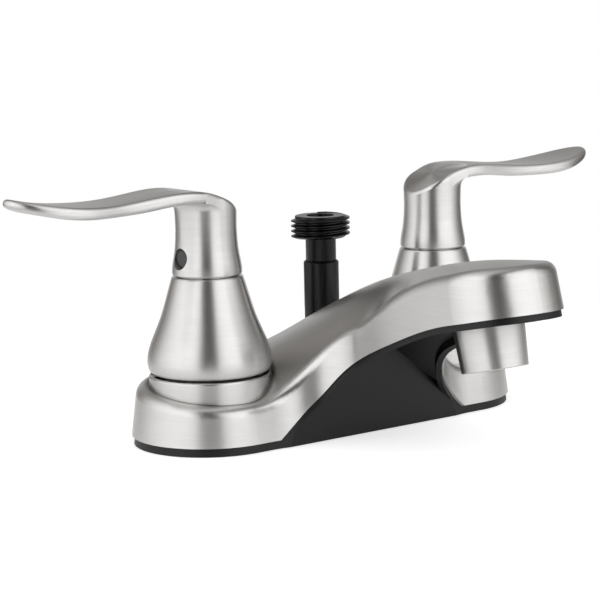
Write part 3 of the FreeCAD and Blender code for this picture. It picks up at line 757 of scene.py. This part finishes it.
bpy.ops.object.select_all(action="DESELECT")
bpy.ops.mesh.primitive_plane_add(size=1.0, location=(0, 0, 0), rotation=(math.pi / 2, 0, 0))
ridge = bpy.context.object
ridge.name = "thread_ridge"
bpy.ops.object.transform_apply(location=False, rotation=True, scale=False)
bpy.ops.object.mode_set(mode="EDIT")
bpy.ops.mesh.select_all(action="SELECT")
bpy.ops.transform.resize(value=(ridge_height, 1, ridge_foot_width))
bpy.ops.transform.translate(value=(crest_radius - ridge_height / 2, 0, 0))
select_points(ridge, lambda point: point.co.x > root_radius)
bpy.ops.transform.resize(value=(1, 1, ridge_crest_width / ridge_foot_width))
bpy.ops.mesh.select_all(action="SELECT")
bpy.ops.mesh.delete(type="ONLY_FACE")
bpy.ops.object.mode_set(mode="OBJECT")
print("ridge's outline:", len(ridge.data.vertices), "points")

# %% Winding the ridge
thread_turns = 4
steps_in_a_turn = 96
first_crest_height = thread_foot + 0.10 * mm
start_angle = math.radians(60)
whole_turn = 2 * math.pi

ridge.rotation_euler = (0, 0, start_angle)
ridge.location = (nipple_axis.x, nipple_axis.y, first_crest_height)
apply_modifier(ridge, "SCREW", "wind", axis="Z", angle=whole_turn, screw_offset=thread_pitch,
               iterations=thread_turns, steps=steps_in_a_turn, render_steps=steps_in_a_turn)
bpy.ops.object.transform_apply(location=True, rotation=True, scale=True)
print("ridge:", len(ridge.data.vertices), "points in", thread_turns, "turns")

# %% Fading the ridge's two ends
fade_length = 3.2 * mm
inwards = (root_radius - 2 * ridge_sink) / crest_radius
ridge_corners = 4
ridge_points = len(ridge.data.vertices)


def fade_end(first, last):
    """Pull one end of the ridge down to the body, with its neighbours following smoothly."""
    select_points(ridge, lambda point: first <= point.index < last)
    bpy.ops.mesh.edge_face_add()
    bpy.ops.transform.resize(value=(inwards, inwards, 1), center_override=nipple_axis,
                             use_proportional_edit=True, use_proportional_connected=True,
                             proportional_edit_falloff="SMOOTH", proportional_size=fade_length)
    bpy.ops.object.mode_set(mode="OBJECT")


fade_end(0, ridge_corners)
fade_end(ridge_points - ridge_corners, ridge_points)
face_outwards()
print("ridge's ends sunk to a radius of", round(crest_radius * inwards / mm, 2), "mm")

# %% Joining the thread to its body
soft_edge = 0.12 * mm
bevel_angle = math.radians(40)
smooth_angle = math.radians(35)
apply_modifier(nipple, "BOOLEAN", "join_thread", operation="UNION", object=ridge, solver="EXACT")
bpy.data.objects.remove(ridge)
apply_modifier(nipple, "BEVEL", "soft_edges", width=soft_edge, segments=2, limit_method="ANGLE",
               angle_limit=bevel_angle)
bpy.ops.object.select_all(action="DESELECT")
nipple.select_set(True)
bpy.ops.object.shade_smooth_by_angle(angle=smooth_angle)
nipple.data.materials.clear()
nipple.data.materials.append(materials["black_riser"])
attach(nipple, "faucet_base")
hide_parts("hose_nipple")
print("hose thread:", len(nipple.data.polygons), "faces, box in mm",
      [round(side / mm, 2) for side in nipple.dimensions])

# %% [markdown]
# ## The diverter spring
#
# Inside the pull-down collar a wire spring pushes it back up. Its foot stands on the fixed nozzle
# and its top carries the collar, so it gets shorter as the collar is pulled, which a rigid solid
# can't show. A curve with a round bevel could draw the wire, but this way gives a plain closed mesh:
# a circle of wire is wound up by the Screw modifier and capped at both ends.

# %% The spring's measures
spring_wire = 0.45 * mm
spring_radius = 8.9 * mm
spring_length = 7.0 * mm
spring_turns = 4
spring_rise = (spring_length - 2 * spring_wire) / spring_turns
spring_steps = 64
wire_sides = 16
seal_centre = middle("collar_seal")
spring_centre = seal_centre + outlet_axis * (middle("diverter_spring") - seal_centre).dot(outlet_axis)
spring_foot = spring_centre - outlet_axis * spring_length / 2
print("spring foot at", spring_foot)

# %% Winding the spring
bpy.ops.object.select_all(action="DESELECT")
bpy.ops.mesh.primitive_circle_add(vertices=wire_sides, radius=spring_wire, fill_type="NOTHING",
                                  location=(spring_radius, 0, 0), rotation=(math.pi / 2, 0, 0))
spring = bpy.context.object
spring.name = "return_spring"
bpy.ops.object.transform_apply(location=True, rotation=True, scale=True)
apply_modifier(spring, "SCREW", "wind", axis="Z", angle=whole_turn, screw_offset=spring_rise,
               iterations=spring_turns, steps=spring_steps, render_steps=spring_steps)
for first in (0, len(spring.data.vertices) - wire_sides):
    select_points(spring, lambda point: first <= point.index < first + wire_sides)
    bpy.ops.mesh.edge_face_add()
    bpy.ops.object.mode_set(mode="OBJECT")
face_outwards()
print("wire:", len(spring.data.vertices), "points in", spring_turns, "turns")

# %% Setting the spring in place
spring.location = spring_foot + outlet_axis * spring_wire
spring.rotation_euler = up.rotation_difference(outlet_axis).to_euler()
bpy.ops.object.transform_apply(location=True, rotation=True, scale=True)
bpy.ops.object.shade_smooth_by_angle(angle=smooth_angle)
spring.data.materials.clear()
spring.data.materials.append(materials["spring_steel"])
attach(spring, "faucet_base")
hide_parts("diverter_spring")
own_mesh(spring)

# %% [markdown]
# ## Colour management
#
# Blender's default view softens bright light as film does. The Standard view shows each colour as it
# was written, which suits a white backdrop.

# %% Colour management
bpy.context.scene.view_settings.view_transform = "Standard"
